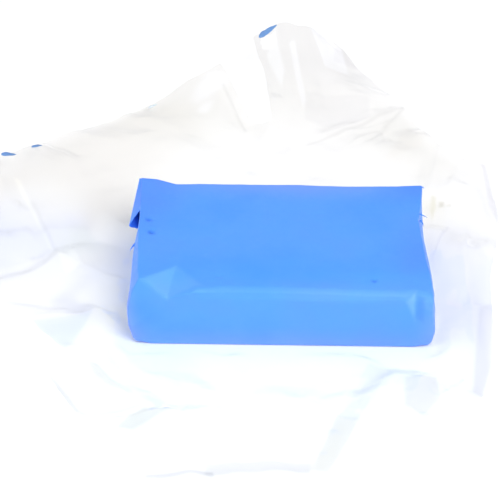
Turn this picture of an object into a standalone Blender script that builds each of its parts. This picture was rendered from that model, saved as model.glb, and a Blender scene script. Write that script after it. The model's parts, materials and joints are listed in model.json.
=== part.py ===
"""A detailing clay bar lying on its own clear wrapper, opened out flat.

Lengths are in millimetres and are turned into metres when a mesh is made.
+Z is up and +X is along the bar. The origin is on the table, under the middle of the bar.

The wrapper is one sheet of clear film. It is made as three panels, because it folds along two straight
lines, one behind the bar and one in front of it. Small marks of clay stick to the back flap's edge.
"""

import math

import bmesh
import bpy
from mathutils import Vector
from mathutils.geometry import delaunay_2d_cdt

MM = 0.001

# The bar.
BAR_LENGTH = 95.0
BAR_DEPTH = 57.0
BAR_TOP = 23.0
CORNER_RADIUS = 4.5
CORNER_POINTS = 5

# The film.
FILM = 0.4
GAP = 0.3
BAR_BOTTOM = FILM + GAP

# The fold lines run along X at y = FOLD_Y and y = -FOLD_Y, in the middle of the film's thickness.
FOLD_CLEARANCE = 9.5
FOLD_Y = BAR_DEPTH / 2 + FOLD_CLEARANCE
FOLD_Z = FILM / 2
FOLD_GAP = 0.25
LEFT_END = -110.0
RIGHT_END = 76.0
FRONT_LEFT_END = -72.0
FRONT_RIGHT_END = 67.0

CLAY_BLUE = (0.13, 0.37, 1.0, 1.0)
FILM_CLEAR = (0.93, 0.94, 0.97, 0.25)

# Each level of the bar, from the bottom up: height, how far the ends and the back are set in, and how
# far the front is set in. The front's top edge is the most rounded one.
BAR_LEVELS = [
    (BAR_BOTTOM, 1.4, 1.4),
    (BAR_BOTTOM + 1.1, 0.3, 0.3),
    (7.0, 0.0, 0.0),
    (14.0, 0.1, 0.15),
    (18.5, 0.25, 0.8),
    (20.8, 0.5, 2.2),
    (22.3, 1.2, 4.3),
    (BAR_TOP, 2.6, 7.4),
]

# The film's edges and the tops of its creases, as (x, y, height of the underside).
BASE_LEFT_EDGE = [
    (-111, 12, 5),
    (-108, -7, 1),
    (-91.5, -14, 1),
    (-81, -19.5, 2),
    (-70, -33, 1),
]
BASE_RIGHT_EDGE = [
    (68, -20, 6),
    (69, 1, 5),
    (73, 20, 6),
]
BASE_CREASES = [
    (-95, 28, 5),
    (-88, 12, 1),
    (-93, -4, 3),
    (-72.5, 9.5, 5),
    (-65.5, 7, 2),
    (-64, 26, 1.5),
    (-62, -16, 2.5),
    (-76, -8, 1),
    (-60, -31, 1),
    (-51, 0, 0),
    (51, 10, 0),
    (51, -20, 0),
    (62, 24, 5),
    (61, 2, 5),
    (61, -24, 4),
]
BACK_EDGE = [
    (75, 52, 5),
    (74, 66, 5),
    (69.5, 68, 4),
    (59.5, 78, 4),
    (54.5, 88, 4),
    (51, 97, 3),
    (47, 107, 3),
    (36.5, 123, 4),
    (31, 133, 4),
    (22, 144, 9),
    (12, 140, 20),
    (-2, 139, 20),
    (-11.3, 138, 13),
    (-6, 124, 7),
    (-3.2, 95.5, 3),
    (-11.5, 97, 3),
    (-23, 124, 13),
    (-38.6, 116, 6),
    (-53.4, 106.5, 1),
    (-81.8, 85.5, 3),
    (-101, 66.5, 6),
    (-112, 57, 6),
]
BACK_CREASES = [
    (-96, 52, 2),
    (-84, 66, 5),
    (-60, 78, 3),
    (-66, 52, 1),
    (-40, 92, 4),
    (-33, 60, 1.5),
    (-22, 98, 6),
    (-14, 76, 1),
    (2, 62, 2),
    (4, 84, 2),
    (6, 99, 6),
    (4, 120, 12),
    (16, 118, 9),
    (22, 98, 3),
    (30, 78, 5),
    (34, 106, 6),
    (42, 92, 2),
    (44, 60, 1),
    (55, 46, 4),
    (62, 60, 5),
]
FRONT_EDGE = [
    (-72.5, -47, 3),
    (-62.6, -64, 3),
    (-53, -70, 2),
    (-44, -84, 2),
    (-39, -92, 2),
    (-13, -93, 4),
    (14, -91, 2),
    (28, -79, 3),
    (41.8, -66, 3),
    (53, -56, 3),
    (60.6, -57, 4),
    (66, -47, 3),
]
FRONT_CREASES = [
    (-61, -49, 3),
    (-46, -56, 2),
    (-32, -66, 4),
    (-22, -52, 0.5),
    (-8, -74, 2),
    (10, -56, 2),
    (22, -66, 1),
    (36, -50, 3),
    (56, -46, 2),
]

# Marks of clay just inside the film's edge, as (x, y, length, width, turn in degrees).
CLAY_MARKS = [
    (-97.5, 67.0, 6.0, 1.8, 30),
    (-88.5, 76.0, 4.5, 1.6, 35),
    (-48.5, 107.5, 4.0, 1.0, 30),
    (-5.5, 136.0, 7.5, 2.0, 50),
]
MARK_HEIGHT = 1.0


def principled(name, colour, roughness, alpha=1.0):
    """A plain Principled material."""
    material = bpy.data.materials.new(name)
    material.use_nodes = True
    shader = material.node_tree.nodes["Principled BSDF"]
    shader.inputs["Base Color"].default_value = colour
    shader.inputs["Roughness"].default_value = roughness
    shader.inputs["Metallic"].default_value = 0.0
    shader.inputs["Alpha"].default_value = alpha
    return material


def add_object(name, bm, material, location=(0.0, 0.0, 0.0), smooth=False):
    """Turn a bmesh in millimetres into an object in metres, with its origin at location."""
    origin = Vector(location)
    bmesh.ops.triangulate(bm, faces=bm.faces[:])
    bmesh.ops.recalc_face_normals(bm, faces=bm.faces[:])
    for vert in bm.verts:
        vert.co = (vert.co - origin) * MM
    mesh = bpy.data.meshes.new(name)
    bm.to_mesh(mesh)
    bm.free()
    mesh.materials.append(material)
    if smooth:
        mesh.shade_smooth()
        mesh.set_sharp_from_angle(angle=math.radians(40))
    obj = bpy.data.objects.new(name, mesh)
    obj.location = origin * MM
    bpy.context.collection.objects.link(obj)
    return obj


def rounded_outline(x_half, y_back, y_front, radius):
    """The bar's plan at one level: a rectangle with round corners, counter-clockwise."""
    corners = [
        (x_half - radius, y_back - radius, 0),
        (radius - x_half, y_back - radius, 90),
        (radius - x_half, radius - y_front, 180),
        (x_half - radius, radius - y_front, 270),
    ]
    points = []
    for cx, cy, start in corners:
        for step in range(CORNER_POINTS):
            turn = math.radians(start + 90 * step / (CORNER_POINTS - 1))
            points.append((cx + radius * math.cos(turn), cy + radius * math.sin(turn)))
    return points


def make_bar(material):
    """The clay bar: a stack of rounded outlines, bridged, with a flat top and a flat underside."""
    bm = bmesh.new()
    rings = []
    for height, inset, front_inset in BAR_LEVELS:
        outline = rounded_outline(
            BAR_LENGTH / 2 - inset,
            BAR_DEPTH / 2 - inset,
            BAR_DEPTH / 2 - front_inset,
            CORNER_RADIUS,
        )
        rings.append([bm.verts.new((x, y, height)) for x, y in outline])
    count = len(rings[0])
    for lower, upper in zip(rings, rings[1:]):
        for i in range(count):
            j = (i + 1) % count
            bm.faces.new((lower[i], lower[j], upper[j], upper[i]))
    bm.faces.new(list(reversed(rings[0])))
    bm.faces.new(rings[-1])
    return add_object("clay_bar", bm, material, smooth=True)


def make_panel(name, edge, creases, material, location=(0.0, 0.0, 0.0)):
    """One panel of film: triangles between its edge and its creases, with the film's thickness."""
    points = [Vector(p) for p in edge + creases]
    outline = [(i, (i + 1) % len(edge)) for i in range(len(edge))]
    flat = [p.xy for p in points]
    flat_out, _, triangles, source, _, _ = delaunay_2d_cdt(flat, outline, [], 1, 1e-5)
    bm = bmesh.new()
    lower = []
    upper = []
    for index in range(len(flat_out)):
        point = points[source[index][0]]
        lower.append(bm.verts.new(point))
        upper.append(bm.verts.new(point + Vector((0.0, 0.0, FILM))))
    for triangle in triangles:
        bm.faces.new([upper[i] for i in triangle])
        bm.faces.new([lower[i] for i in reversed(triangle)])
    for start, end in outline:
        bm.faces.new((lower[start], lower[end], upper[end], upper[start]))
    return add_object(name, bm, material, location)


def fold_side(y, left, right):
    """A panel's flat straight side next to a fold line, from its left end to its right end."""
    return [(left, y, 0), (-BAR_LENGTH / 2, y, 0), (BAR_LENGTH / 2, y, 0), (right, y, 0)]


def make_film(material):
    """The three panels of the sheet: under the bar, behind it and in front of it."""
    inner = FOLD_Y - FOLD_GAP
    outer = FOLD_Y + FOLD_GAP
    back_side = fold_side(inner, LEFT_END, RIGHT_END)
    front_side = fold_side(-inner, FRONT_LEFT_END, FRONT_RIGHT_END)
    base_edge = back_side[::-1] + BASE_LEFT_EDGE + front_side + BASE_RIGHT_EDGE
    base = make_panel("film_base", base_edge, BASE_CREASES, material)

    back_edge = fold_side(outer, LEFT_END, RIGHT_END) + BACK_EDGE
    back_fold = (0.0, FOLD_Y, FOLD_Z)
    back = make_panel("film_back_flap", back_edge, BACK_CREASES, material, back_fold)

    front_edge = fold_side(-outer, FRONT_LEFT_END, FRONT_RIGHT_END)[::-1] + FRONT_EDGE
    front_fold = (0.0, -FOLD_Y, FOLD_Z)
    front = make_panel("film_front_flap", front_edge, FRONT_CREASES, material, front_fold)
    return base, back, front


def film_height(panel, x, y, reach):
    """The highest point of a panel's top surface within reach of a place, in millimetres."""
    highest = 0.0
    for turn in range(0, 360, 30):
        for radius in (0.0, reach):
            px = x + radius * math.cos(math.radians(turn))
            py = y + radius * math.sin(math.radians(turn))
            start = (px * MM - panel.location.x, py * MM - panel.location.y, 1.0)
            hit, point, _, _ = panel.ray_cast(start, (0.0, 0.0, -1.0))
            if hit:
                highest = max(highest, (point.z + panel.location.z) / MM)
    return highest


def make_clay_mark(number, mark, material, panel):
    """A thin smear of clay that sits on the back flap's edge and moves with it."""
    x, y, length, width, turn = mark
    bm = bmesh.new()
    bmesh.ops.create_icosphere(bm, subdivisions=2, radius=0.5)
    bmesh.ops.scale(bm, vec=(length, width, MARK_HEIGHT), verts=bm.verts[:])
    obj = add_object(f"clay_mark_{number}", bm, material, smooth=True)
    z = film_height(panel, x, y, length / 2) + GAP + MARK_HEIGHT / 2
    obj.location = Vector((x, y, z)) * MM
    obj.rotation_euler = (0.0, 0.0, math.radians(turn))
    obj.parent = panel
    obj.matrix_parent_inverse = panel.matrix_world.inverted()
    return obj


def main():
    for obj in list(bpy.data.objects):
        bpy.data.objects.remove(obj)
    clay = principled("clay", CLAY_BLUE, 0.42)
    film = principled("clear_film", FILM_CLEAR, 0.12, alpha=0.25)
    make_bar(clay)
    _, back, _ = make_film(film)
    bpy.context.view_layer.update()
    for number, mark in enumerate(CLAY_MARKS, start=1):
        make_clay_mark(number, mark, clay, back)


main()
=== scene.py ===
"""Looks for the clay bar on its opened wrapper: satin blue clay, clear crinkled film, a pale studio.

Lengths are in metres, in the frame of the CAD part. MM turns millimetres into metres.
"""

import json
import math

import bmesh
import bpy
import numpy as np
from mathutils import Matrix, Vector
from mathutils.bvhtree import BVHTree
from mathutils.geometry import delaunay_2d_cdt
from mathutils.kdtree import KDTree


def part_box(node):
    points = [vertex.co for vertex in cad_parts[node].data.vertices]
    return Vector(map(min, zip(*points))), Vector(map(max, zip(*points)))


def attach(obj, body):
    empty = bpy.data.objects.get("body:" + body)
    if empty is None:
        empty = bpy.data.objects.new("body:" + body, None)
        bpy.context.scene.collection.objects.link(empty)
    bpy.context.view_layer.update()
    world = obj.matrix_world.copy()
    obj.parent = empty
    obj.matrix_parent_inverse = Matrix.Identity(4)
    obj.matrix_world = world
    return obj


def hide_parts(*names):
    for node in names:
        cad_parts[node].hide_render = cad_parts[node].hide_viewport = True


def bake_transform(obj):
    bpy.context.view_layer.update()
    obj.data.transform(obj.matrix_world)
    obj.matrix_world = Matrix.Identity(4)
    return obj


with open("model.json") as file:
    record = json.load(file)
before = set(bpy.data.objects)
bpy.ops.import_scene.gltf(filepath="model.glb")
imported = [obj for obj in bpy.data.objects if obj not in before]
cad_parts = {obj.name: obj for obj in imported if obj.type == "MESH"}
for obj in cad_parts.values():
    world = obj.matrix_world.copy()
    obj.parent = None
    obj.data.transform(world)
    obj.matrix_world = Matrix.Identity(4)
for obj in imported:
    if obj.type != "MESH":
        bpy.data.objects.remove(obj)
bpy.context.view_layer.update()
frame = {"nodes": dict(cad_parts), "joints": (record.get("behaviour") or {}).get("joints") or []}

MM = 0.001
FOLD_Y = frame["joints"][1]["pos_m"][1]  # the back flap's fold line; the front one is at -FOLD_Y

# ---------------------------------------------------------------------------------------------
# Small tools


def smoothstep(low, high, value):
    """0 below low, 1 above high, and a smooth step between."""
    t = np.clip((np.asarray(value, float) - low) / (high - low), 0.0, 1.0)
    return t * t * (3 - 2 * t)


def gradient_noise(x, y, seed):
    """Smooth noise between about -1 and 1, one cell per unit."""
    xi = np.floor(x).astype(np.int64)
    yi = np.floor(y).astype(np.int64)
    xf = x - xi
    yf = y - yi

    def corner(dx, dy):
        h = (xi + dx) * 374761393 + (yi + dy) * 668265263 + seed * 2147483647
        h = (h ^ (h >> 13)) * 1274126177
        angle = ((h ^ (h >> 16)) & 0xFFFF) / 65536.0 * 2 * math.pi
        return np.cos(angle) * (xf - dx) + np.sin(angle) * (yf - dy)

    u = xf * xf * xf * (xf * (xf * 6 - 15) + 10)
    v = yf * yf * yf * (yf * (yf * 6 - 15) + 10)
    low = corner(0, 0) * (1 - u) + corner(1, 0) * u
    high = corner(0, 1) * (1 - u) + corner(1, 1) * u
    return 1.5 * (low * (1 - v) + high * v)


def fractal_noise(x, y, seed, octaves=3):
    """Gradient noise with finer layers on top."""
    total = np.zeros_like(np.asarray(x, float))
    for k in range(octaves):
        total = total + gradient_noise(x * 2**k, y * 2**k, seed + 17 * k) / 2**k
    return total


PANE_EDGE = 0.7  # mm, half the width of a pane's soft edge


def inside_pane(x, y, corners):
    """1 inside a convex outline, 0 outside, with a narrow soft edge."""
    middle = np.mean(corners, axis=0)
    depth = np.full(x.shape, 1e9)
    for (ax, ay), (bx, by) in zip(corners, corners[1:] + corners[:1]):
        length = math.hypot(bx - ax, by - ay)
        normal = np.array([ay - by, bx - ax]) / length
        if normal @ (middle - (ax, ay)) < 0:
            normal = -normal
        depth = np.minimum(depth, (x - ax) * normal[0] + (y - ay) * normal[1])
    return smoothstep(-PANE_EDGE, PANE_EDGE, depth)


def mesh_object(name, vertices, faces, material, smooth=True):
    """A mesh object from arrays of vertices and faces."""
    mesh = bpy.data.meshes.new(name)
    mesh.from_pydata([tuple(v) for v in vertices], [], [tuple(f) for f in faces])
    mesh.validate()
    if smooth:
        mesh.shade_smooth()
    mesh.materials.append(material)
    obj = bpy.data.objects.new(name, mesh)
    bpy.context.scene.collection.objects.link(obj)
    return obj


def paint(obj, name, colours):
    """Give each vertex of a mesh object its colour, as a colour attribute."""
    layer = obj.data.color_attributes.new(name, "FLOAT_COLOR", "POINT")
    layer.data.foreach_set("color", np.column_stack([colours, np.ones(len(colours))]).ravel())


# ---------------------------------------------------------------------------------------------
# Materials


class Nodes:
    """A short way to write a node tree."""

    def __init__(self, tree):
        self.tree = tree
        self.tree.nodes.clear()

    def add(self, kind, inputs=None, **settings):
        """A node with its settings. Each input is a value or another node's output."""
        node = self.tree.nodes.new(kind)
        for key, value in settings.items():
            setattr(node, key, value)
        for key, value in (inputs or {}).items():
            if isinstance(value, bpy.types.NodeSocket):
                self.tree.links.new(value, node.inputs[key])
            else:
                node.inputs[key].default_value = value
        return node

    def ramp(self, factor, stops):
        """The colour at a factor between stops, which are pairs of position and colour."""
        node = self.add("ShaderNodeValToRGB", {"Fac": factor})
        elements = node.color_ramp.elements
        while len(elements) < len(stops):
            elements.new(0.5)
        for element, (position, colour) in zip(elements, stops):
            element.position = position
            element.color = colour
        return node.outputs["Color"]


def new_material(name):
    """An empty material and its nodes."""
    material = bpy.data.materials.new(name)
    material.use_nodes = True
    return material, Nodes(material.node_tree)


# Each clay's three mottled shades, and where they lie on the mottling's ramp.
CLAY_BLUES = ((0.074, 0.284, 0.940), (0.084, 0.296, 0.945), (0.090, 0.288, 0.950))
SMEAR_BLUES = ((0.12, 0.24, 0.49), (0.13, 0.25, 0.50), (0.14, 0.26, 0.51))
THIN_SMEAR_BLUES = ((0.60, 0.66, 0.70), (0.62, 0.68, 0.72), (0.64, 0.70, 0.74))
SHADE_PLACES = (0.32, 0.50, 0.68)


def clay_material(name, blues, with_painted_light=False):
    """Satin putty: faint mottling, a soft sheen and fine dents. The block's colour also carries painted
    light and shade.
    """
    material, n = new_material(name)
    coords = n.add("ShaderNodeTexCoord").outputs["Object"]
    patches = n.add(
        "ShaderNodeTexNoise", {"Vector": coords, "Scale": 42.0, "Detail": 3.0, "Roughness": 0.55}
    )
    stops = [(place, (*blue, 1.0)) for place, blue in zip(SHADE_PLACES, blues)]
    colour = n.ramp(patches.outputs["Fac"], stops)
    if with_painted_light:
        # The block's colour is multiplied by patches of painted sheen, highlights and shade.
        painted_light = n.add("ShaderNodeAttribute", attribute_name="painted_light").outputs["Color"]
        both = {"Factor": 1.0, 6: colour, 7: painted_light}
        colour = n.add("ShaderNodeMix", both, data_type="RGBA", blend_type="MULTIPLY").outputs[2]
    grain = n.add("ShaderNodeTexNoise", {"Vector": coords, "Scale": 2600.0, "Detail": 2.0})
    dents = n.add("ShaderNodeTexNoise", {"Vector": coords, "Scale": 420.0, "Detail": 3.0})
    bump_fine = n.add(
        "ShaderNodeBump", {"Height": grain.outputs["Fac"], "Strength": 0.10, "Distance": 0.00006}
    )
    bump = n.add(
        "ShaderNodeBump",
        {
            "Height": dents.outputs["Fac"],
            "Strength": 0.22,
            "Distance": 0.00035,
            "Normal": bump_fine.outputs["Normal"],
        },
    )
    rough = n.add(
        "ShaderNodeMapRange",
        {
            "Value": dents.outputs["Fac"],
            "From Min": 0.3,
            "From Max": 0.7,
            "To Min": 0.40,
            "To Max": 0.52,
        },
    )
    shader = n.add(
        "ShaderNodeBsdfPrincipled",
        {
            "Base Color": colour,
            "Roughness": rough.outputs["Result"],
            "Normal": bump.outputs["Normal"],
            "Specular IOR Level": 0.45,
            "Specular Tint": (0.55, 0.85, 1.0, 1.0),
            "Subsurface Weight": 0.12,
            "Subsurface Radius": (0.0006, 0.0012, 0.0030),
            "Subsurface Scale": 1.0,
        },
    )
    n.add("ShaderNodeOutputMaterial", {"Surface": shader.outputs["BSDF"]})
    return material


def film_material():
    """Thin clear film: tinted, glossy at a slant, with a little haze and fine crinkles."""
    material, n = new_material("clear_film")
    coords = n.add("ShaderNodeTexCoord").outputs["Object"]
    crinkle = n.add(
        "ShaderNodeTexNoise", {"Vector": coords, "Scale": 260.0, "Detail": 3.0, "Roughness": 0.5}
    )
    bump = n.add(
        "ShaderNodeBump",
        {"Height": crinkle.outputs["Fac"], "Strength": 0.15, "Distance": 0.0005},
    )
    # The see-through colour holds the film's own tint and also painted shade, reflections and
    # highlights.
    tint_and_painted_light = n.add("ShaderNodeAttribute", attribute_name="tint_and_painted_light").outputs["Color"]
    see_through = n.add("ShaderNodeBsdfTransparent", {"Color": tint_and_painted_light})
    haze = n.add("ShaderNodeBsdfTranslucent", {"Color": (0.96, 0.96, 0.96, 1.0)})
    cloudy = n.add(
        "ShaderNodeMixShader",
        {"Fac": 0.02, 1: see_through.outputs["BSDF"], 2: haze.outputs["BSDF"]},
    )
    gloss = n.add(
        "ShaderNodeBsdfPrincipled",
        {
            "Base Color": (1.0, 1.0, 1.0, 1.0),
            "Metallic": 1.0,
            "Roughness": 0.10,
            "Normal": bump.outputs["Normal"],
        },
    )
    slant = n.add("ShaderNodeLayerWeight", {"Blend": 0.5, "Normal": bump.outputs["Normal"]})
    steep = n.add("ShaderNodeMath", {0: slant.outputs["Facing"], 1: 5.0}, operation="POWER")
    share = n.add(
        "ShaderNodeMapRange",
        {"Value": steep.outputs["Value"], "To Min": 0.035, "To Max": 0.85},
    )
    mix = n.add(
        "ShaderNodeMixShader",
        {"Fac": share.outputs["Result"], 1: cloudy.outputs["Shader"], 2: gloss.outputs["BSDF"]},
    )
    n.add("ShaderNodeOutputMaterial", {"Surface": mix.outputs["Shader"]})
    return material


def floor_material():
    """A plain pale floor."""
    material, n = new_material("pale_floor")
    shader = n.add(
        "ShaderNodeBsdfPrincipled",
        {"Base Color": (0.93, 0.93, 0.94, 1.0), "Roughness": 0.9, "Specular IOR Level": 0.1},
    )
    n.add("ShaderNodeOutputMaterial", {"Surface": shader.outputs["BSDF"]})
    return material


# ---------------------------------------------------------------------------------------------
# The clay bar

BAR_LOW, BAR_HIGH = (np.array(corner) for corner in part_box("clay_bar"))
BAR_HALF = (BAR_HIGH - BAR_LOW) / 2 / MM
BAR_SEAT = 0.16  # mm, the underside lies just over the film
BAR_TOP = BAR_HIGH[2] / MM
BAR_STEP = 0.62  # mm between the points of the block's surface
EDGE_STEP = 0.16  # mm between them near its edges
EDGE_ZONE = 1.6  # mm, how far from an edge the close points reach
EDGE_RADIUS = 0.55  # mm, the thin edges round the top
UPRIGHT_EXTRA = 1.2  # mm more on the lower part of the upright edges
FRONT_EXTRA = 1.1  # mm more on the top's front edge

# How far the block's two ends stand from its middle, in mm: one row for each depth, from the front
# to the back, and in each row one value for each height, from the bottom up.
END_DEPTHS = (-28.5, -22.0, -12.0, 0.0, 10.0, 14.0, 20.0, 28.5)
END_HEIGHTS = (0.2, 6.0, 12.0, 17.5, 23.0)
END_CELL = 0.5  # mm, the grid that the ends are smoothed on
END_BLUR = 1.6  # cells
LEFT_END = (
    (46.8, 48.5, 48.8, 47.4, 44.8),
    (47.4, 49.3, 49.3, 47.9, 45.2),
    (47.8, 49.1, 48.9, 48.1, 46.2),
    (47.8, 49.0, 49.0, 48.4, 46.7),
    (47.8, 48.8, 48.4, 47.6, 47.0),
    (47.6, 48.4, 47.8, 47.3, 47.1),
    (47.4, 48.0, 47.7, 47.3, 47.2),
    (46.9, 47.5, 47.6, 47.5, 47.6),
)
RIGHT_END = (
    (47.7, 48.8, 48.0, 47.5, 46.8),
    (47.8, 49.1, 48.7, 48.1, 46.5),
    (47.8, 48.9, 48.7, 47.7, 45.9),
    (47.6, 48.4, 48.1, 47.1, 45.1),
    (47.5, 48.1, 47.5, 46.4, 44.7),
    (47.4, 48.0, 47.5, 46.5, 45.4),
    (47.2, 47.8, 47.6, 47.0, 46.3),
    (46.8, 47.3, 47.4, 47.4, 47.3),
)


def bell(reach, spread):
    """The weights of a blur that reaches so many cells to each side."""
    return np.exp(-0.5 * (np.arange(-reach, reach + 1) / spread) ** 2)


def blurred(grid, kernel):
    """A grid smoothed along both of its axes, with its edge values repeated outside it."""
    kernel = kernel / kernel.sum()
    reach = len(kernel) // 2
    for axis in (0, 1):
        grid = np.apply_along_axis(
            lambda line: np.convolve(np.pad(line, reach, "edge"), kernel, "valid"), axis, grid
        )
    return grid


def grid_value(grid, u, v):
    """The value of a grid at places between its points."""
    u = np.clip(u, 0, grid.shape[0] - 1.001)
    v = np.clip(v, 0, grid.shape[1] - 1.001)
    i, j = u.astype(int), v.astype(int)
    fu, fv = u - i, v - j
    low = grid[i, j] * (1 - fu) + grid[i + 1, j] * fu
    high = grid[i, j + 1] * (1 - fu) + grid[i + 1, j + 1] * fu
    return low * (1 - fv) + high * fv


class EndShape:
    """One end of the block as a smooth function of depth and height."""

    def __init__(self, rows):
        depths = np.arange(END_DEPTHS[0], END_DEPTHS[-1] + END_CELL, END_CELL)
        heights = np.arange(0.0, END_HEIGHTS[-1] + END_CELL, END_CELL)
        rows = np.array(rows)
        along = np.array([np.interp(depths, END_DEPTHS, rows[:, k]) for k in range(rows.shape[1])])
        grid = np.array([np.interp(heights, END_HEIGHTS, along[:, k]) for k in range(len(depths))])
        self.grid = blurred(grid, bell(4, END_BLUR))

    def __call__(self, y, z):
        return grid_value(self.grid, (y - END_DEPTHS[0]) / END_CELL, z / END_CELL)


def axis_places(low, high):
    """Places along one side of the block: close together near its edges."""
    near = np.arange(0.0, EDGE_ZONE, EDGE_STEP)
    count = round((high - low - 2 * EDGE_ZONE) / BAR_STEP)
    middle = np.linspace(low + EDGE_ZONE, high - EDGE_ZONE, count + 1)
    return np.concatenate([low + near, middle, high - near[::-1]])


def box_surface(xs, ys, zs):
    """A closed grid over a box: its vertices and its quads."""
    nx, ny, nz = len(xs) - 1, len(ys) - 1, len(zs) - 1
    index = {}
    vertices = []

    def vertex(i, j, k):
        if (i, j, k) not in index:
            index[i, j, k] = len(vertices)
            vertices.append((xs[i], ys[j], zs[k]))
        return index[i, j, k]

    def side(count_a, count_b, corner, flip):
        for a in range(count_a):
            for b in range(count_b):
                quad = [corner(a, b), corner(a + 1, b), corner(a + 1, b + 1), corner(a, b + 1)]
                faces.append(quad[::-1] if flip else quad)

    faces = []
    side(nx, ny, lambda a, b: vertex(a, b, nz), False)
    side(nx, ny, lambda a, b: vertex(a, b, 0), True)
    side(nx, nz, lambda a, b: vertex(a, 0, b), False)
    side(nx, nz, lambda a, b: vertex(a, ny, b), True)
    side(ny, nz, lambda a, b: vertex(0, a, b), True)
    side(ny, nz, lambda a, b: vertex(nx, a, b), False)
    return np.array(vertices), faces


def rounded_box(p):
    """Move the points of a box's surface so that its edges are rounded."""
    half = np.array([BAR_HALF[0], BAR_HALF[1], (BAR_TOP - BAR_SEAT) / 2])
    centre = np.array([0.0, 0.0, (BAR_TOP + BAR_SEAT) / 2])
    from_ends = half[0] - np.abs(p[:, 0])
    from_sides = half[1] - np.abs(p[:, 1])
    upright = 1 - smoothstep(2.0, 6.0, np.maximum(from_ends, from_sides))
    lower = smoothstep(21.0, 12.0, p[:, 2])
    front_top = 1 - smoothstep(2.0, 7.0, np.maximum(p[:, 1] + half[1], BAR_TOP - p[:, 2]))
    radius = EDGE_RADIUS + UPRIGHT_EXTRA * upright * lower + FRONT_EXTRA * front_top
    inner = half[None, :] - radius[:, None]
    offset = p - centre
    q = np.clip(offset, -inner, inner)
    d = offset - q
    return centre + q + radius[:, None] * d / np.linalg.norm(d, axis=1)[:, None]


def plane_through(a, b, c):
    """The height of the plane through three points, as a function of x and y."""
    a, b, c = (np.array(p, float) for p in (a, b, c))
    normal = np.cross(b - a, c - a)
    return lambda x, y: a[2] - (normal[0] * (x - a[0]) + normal[1] * (y - a[1])) / normal[2]


def pressed_flat(p, a, b, c):
    """Press every point that stands out past the plane through a, b and c back onto it."""
    a, b, c = (np.array(q, float) for q in (a, b, c))
    normal = np.cross(b - a, c - a)
    normal /= np.linalg.norm(normal)
    if normal @ (a - np.array([0.0, 0.0, 10.0])) < 0:
        normal = -normal
    past = np.maximum((p - a) @ normal, 0.0)
    return p - past[:, None] * normal


# The corner facets that the wrapper's folds left at the front left: points on the block, in mm.
FACET_LEFT = (-44.1, -23.9, 23.0)
FACET_BACK = (-33.8, -17.1, 23.1)
FACET_FOOT = (-36.1, -28.7, 19.0)
FACET_RIGHT = (-25.5, -25.6, 23.0)
FACET_LOW = (-49.0, -26.8, 11.0)

# The front's band starts at this height, in mm. Its upright crease has its place along x, its foot's
# height, how fast it widens upward and its greatest width.
BAND_LOW = 18.9
CREASE_X = 41.6
CREASE_FOOT = 12.9
CREASE_SPREAD = 3.6 / 8.0
CREASE_WIDTH = 4.2

# Small dents in the top: x, y, depth and radius in mm.
PITS = [
    (-44.0, 7.6, 0.80, 0.75),
    (-42.8, 0.8, 0.95, 0.85),
    (28.9, -22.4, 0.60, 0.65),
    (-20.2, -21.8, 0.30, 1.2),
    (12.5, 12.0, 0.18, 1.4),
]


def back_edge_height(x):
    """How much higher than the top the back edge stands: an ear at the left, then shallow waves."""
    places = (-48.5, -42.0, -39.0, -35.8, -27.7, -10.8, -4.0, 6.0, 22.9, 39.7, 46.5)
    heights = (2.05, 1.5, 0.6, -0.25, 0.1, -0.25, 0.05, 0.0, -0.45, -0.4, 0.1)
    return np.interp(x, places, heights)


def shaped_top(x, y, z):
    """The top's heights: an ear and waves along its back, a dish, a fall to the front, and pits."""
    on_top = smoothstep(8.0, 21.0, z)
    z = z + on_top * back_edge_height(x) * smoothstep(10.0, 28.0, y) ** 1.5
    z = z - on_top * 0.35 * np.exp(-(((y + 19.5) / 4.5) ** 2)) * smoothstep(-34.0, -18.0, x)
    fall = (0.9 + 0.6 * smoothstep(0, 44, x)) * smoothstep(-18, -27, y) * smoothstep(-38, -22, x)
    z = z - smoothstep(19.0, 22.5, z) * fall
    z = z + on_top * 0.28 * fractal_noise(x / 26.0, y / 20.0, 3, 2)
    z = z + on_top * 0.045 * fractal_noise(x / 6.0, y / 7.0, 11, 2)
    for pit_x, pit_y, depth, radius in PITS:
        z = z - on_top * depth * np.exp(-((x - pit_x) ** 2 + (y - pit_y) ** 2) / radius**2)
    return z


def shaped_front_and_back(x, y, z):
    """The depths: a band that leans back over a slight swell, a crease, a slanting fold, soft waves."""
    front = smoothstep(-BAR_HALF[1] + 11.0, -BAR_HALF[1] + 0.6, y)
    lean = 0.46 * np.maximum(z - BAND_LOW, 0.0) * smoothstep(-31.0, -17.0, x)
    swell = 0.45 * smoothstep(1.0, 12.0, z) * smoothstep(24.0, BAND_LOW, z)
    y = y + front * (lean - swell)
    # The crease: a triangle leans in on its left, and a wider side on its right.
    side = x - CREASE_X
    flank = np.clip((z - CREASE_FOOT) * CREASE_SPREAD, 0.0, CREASE_WIDTH)
    groove = np.where(side < 0, np.clip(flank + side, 0.0, None) * 0.36, 0.0)
    groove = np.where(side >= 0, np.clip(0.36 * flank - 0.24 * side, 0.0, None), groove)
    y = y + front * groove
    # The slanting fold runs across the right half.
    below = np.clip((9.0 + (x - 6.0) * 0.33 - z) / 5.0, 0.0, 1.0) * smoothstep(4.0, 12.0, x)
    y = y - front * 0.40 * below * smoothstep(0.5, 4.0, z)
    over_seat = smoothstep(0.2, 1.0, z - BAR_SEAT)
    y = y - front * 0.22 * fractal_noise(x / 22.0, z / 12.0, 23, 2) * over_seat
    back = smoothstep(BAR_HALF[1] - 4, BAR_HALF[1], y)
    return y + back * 0.4 * fractal_noise(x / 24.0, z / 14.0, 31, 2)


def shaped_ends(x, y, z):
    """The lengths: each end follows its own table, with small waves."""
    half = BAR_HALF[0]
    waves = 0.16 * fractal_noise(y / 7.0, z / 6.0, 47, 2)
    left = smoothstep(-half + 12.0, -half + 0.8, x)
    right = smoothstep(half - 12.0, half - 0.8, x)
    x = x - left * (EndShape(LEFT_END)(y, z) - half + waves)
    return x + right * (EndShape(RIGHT_END)(y, z) - half + waves)


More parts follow.
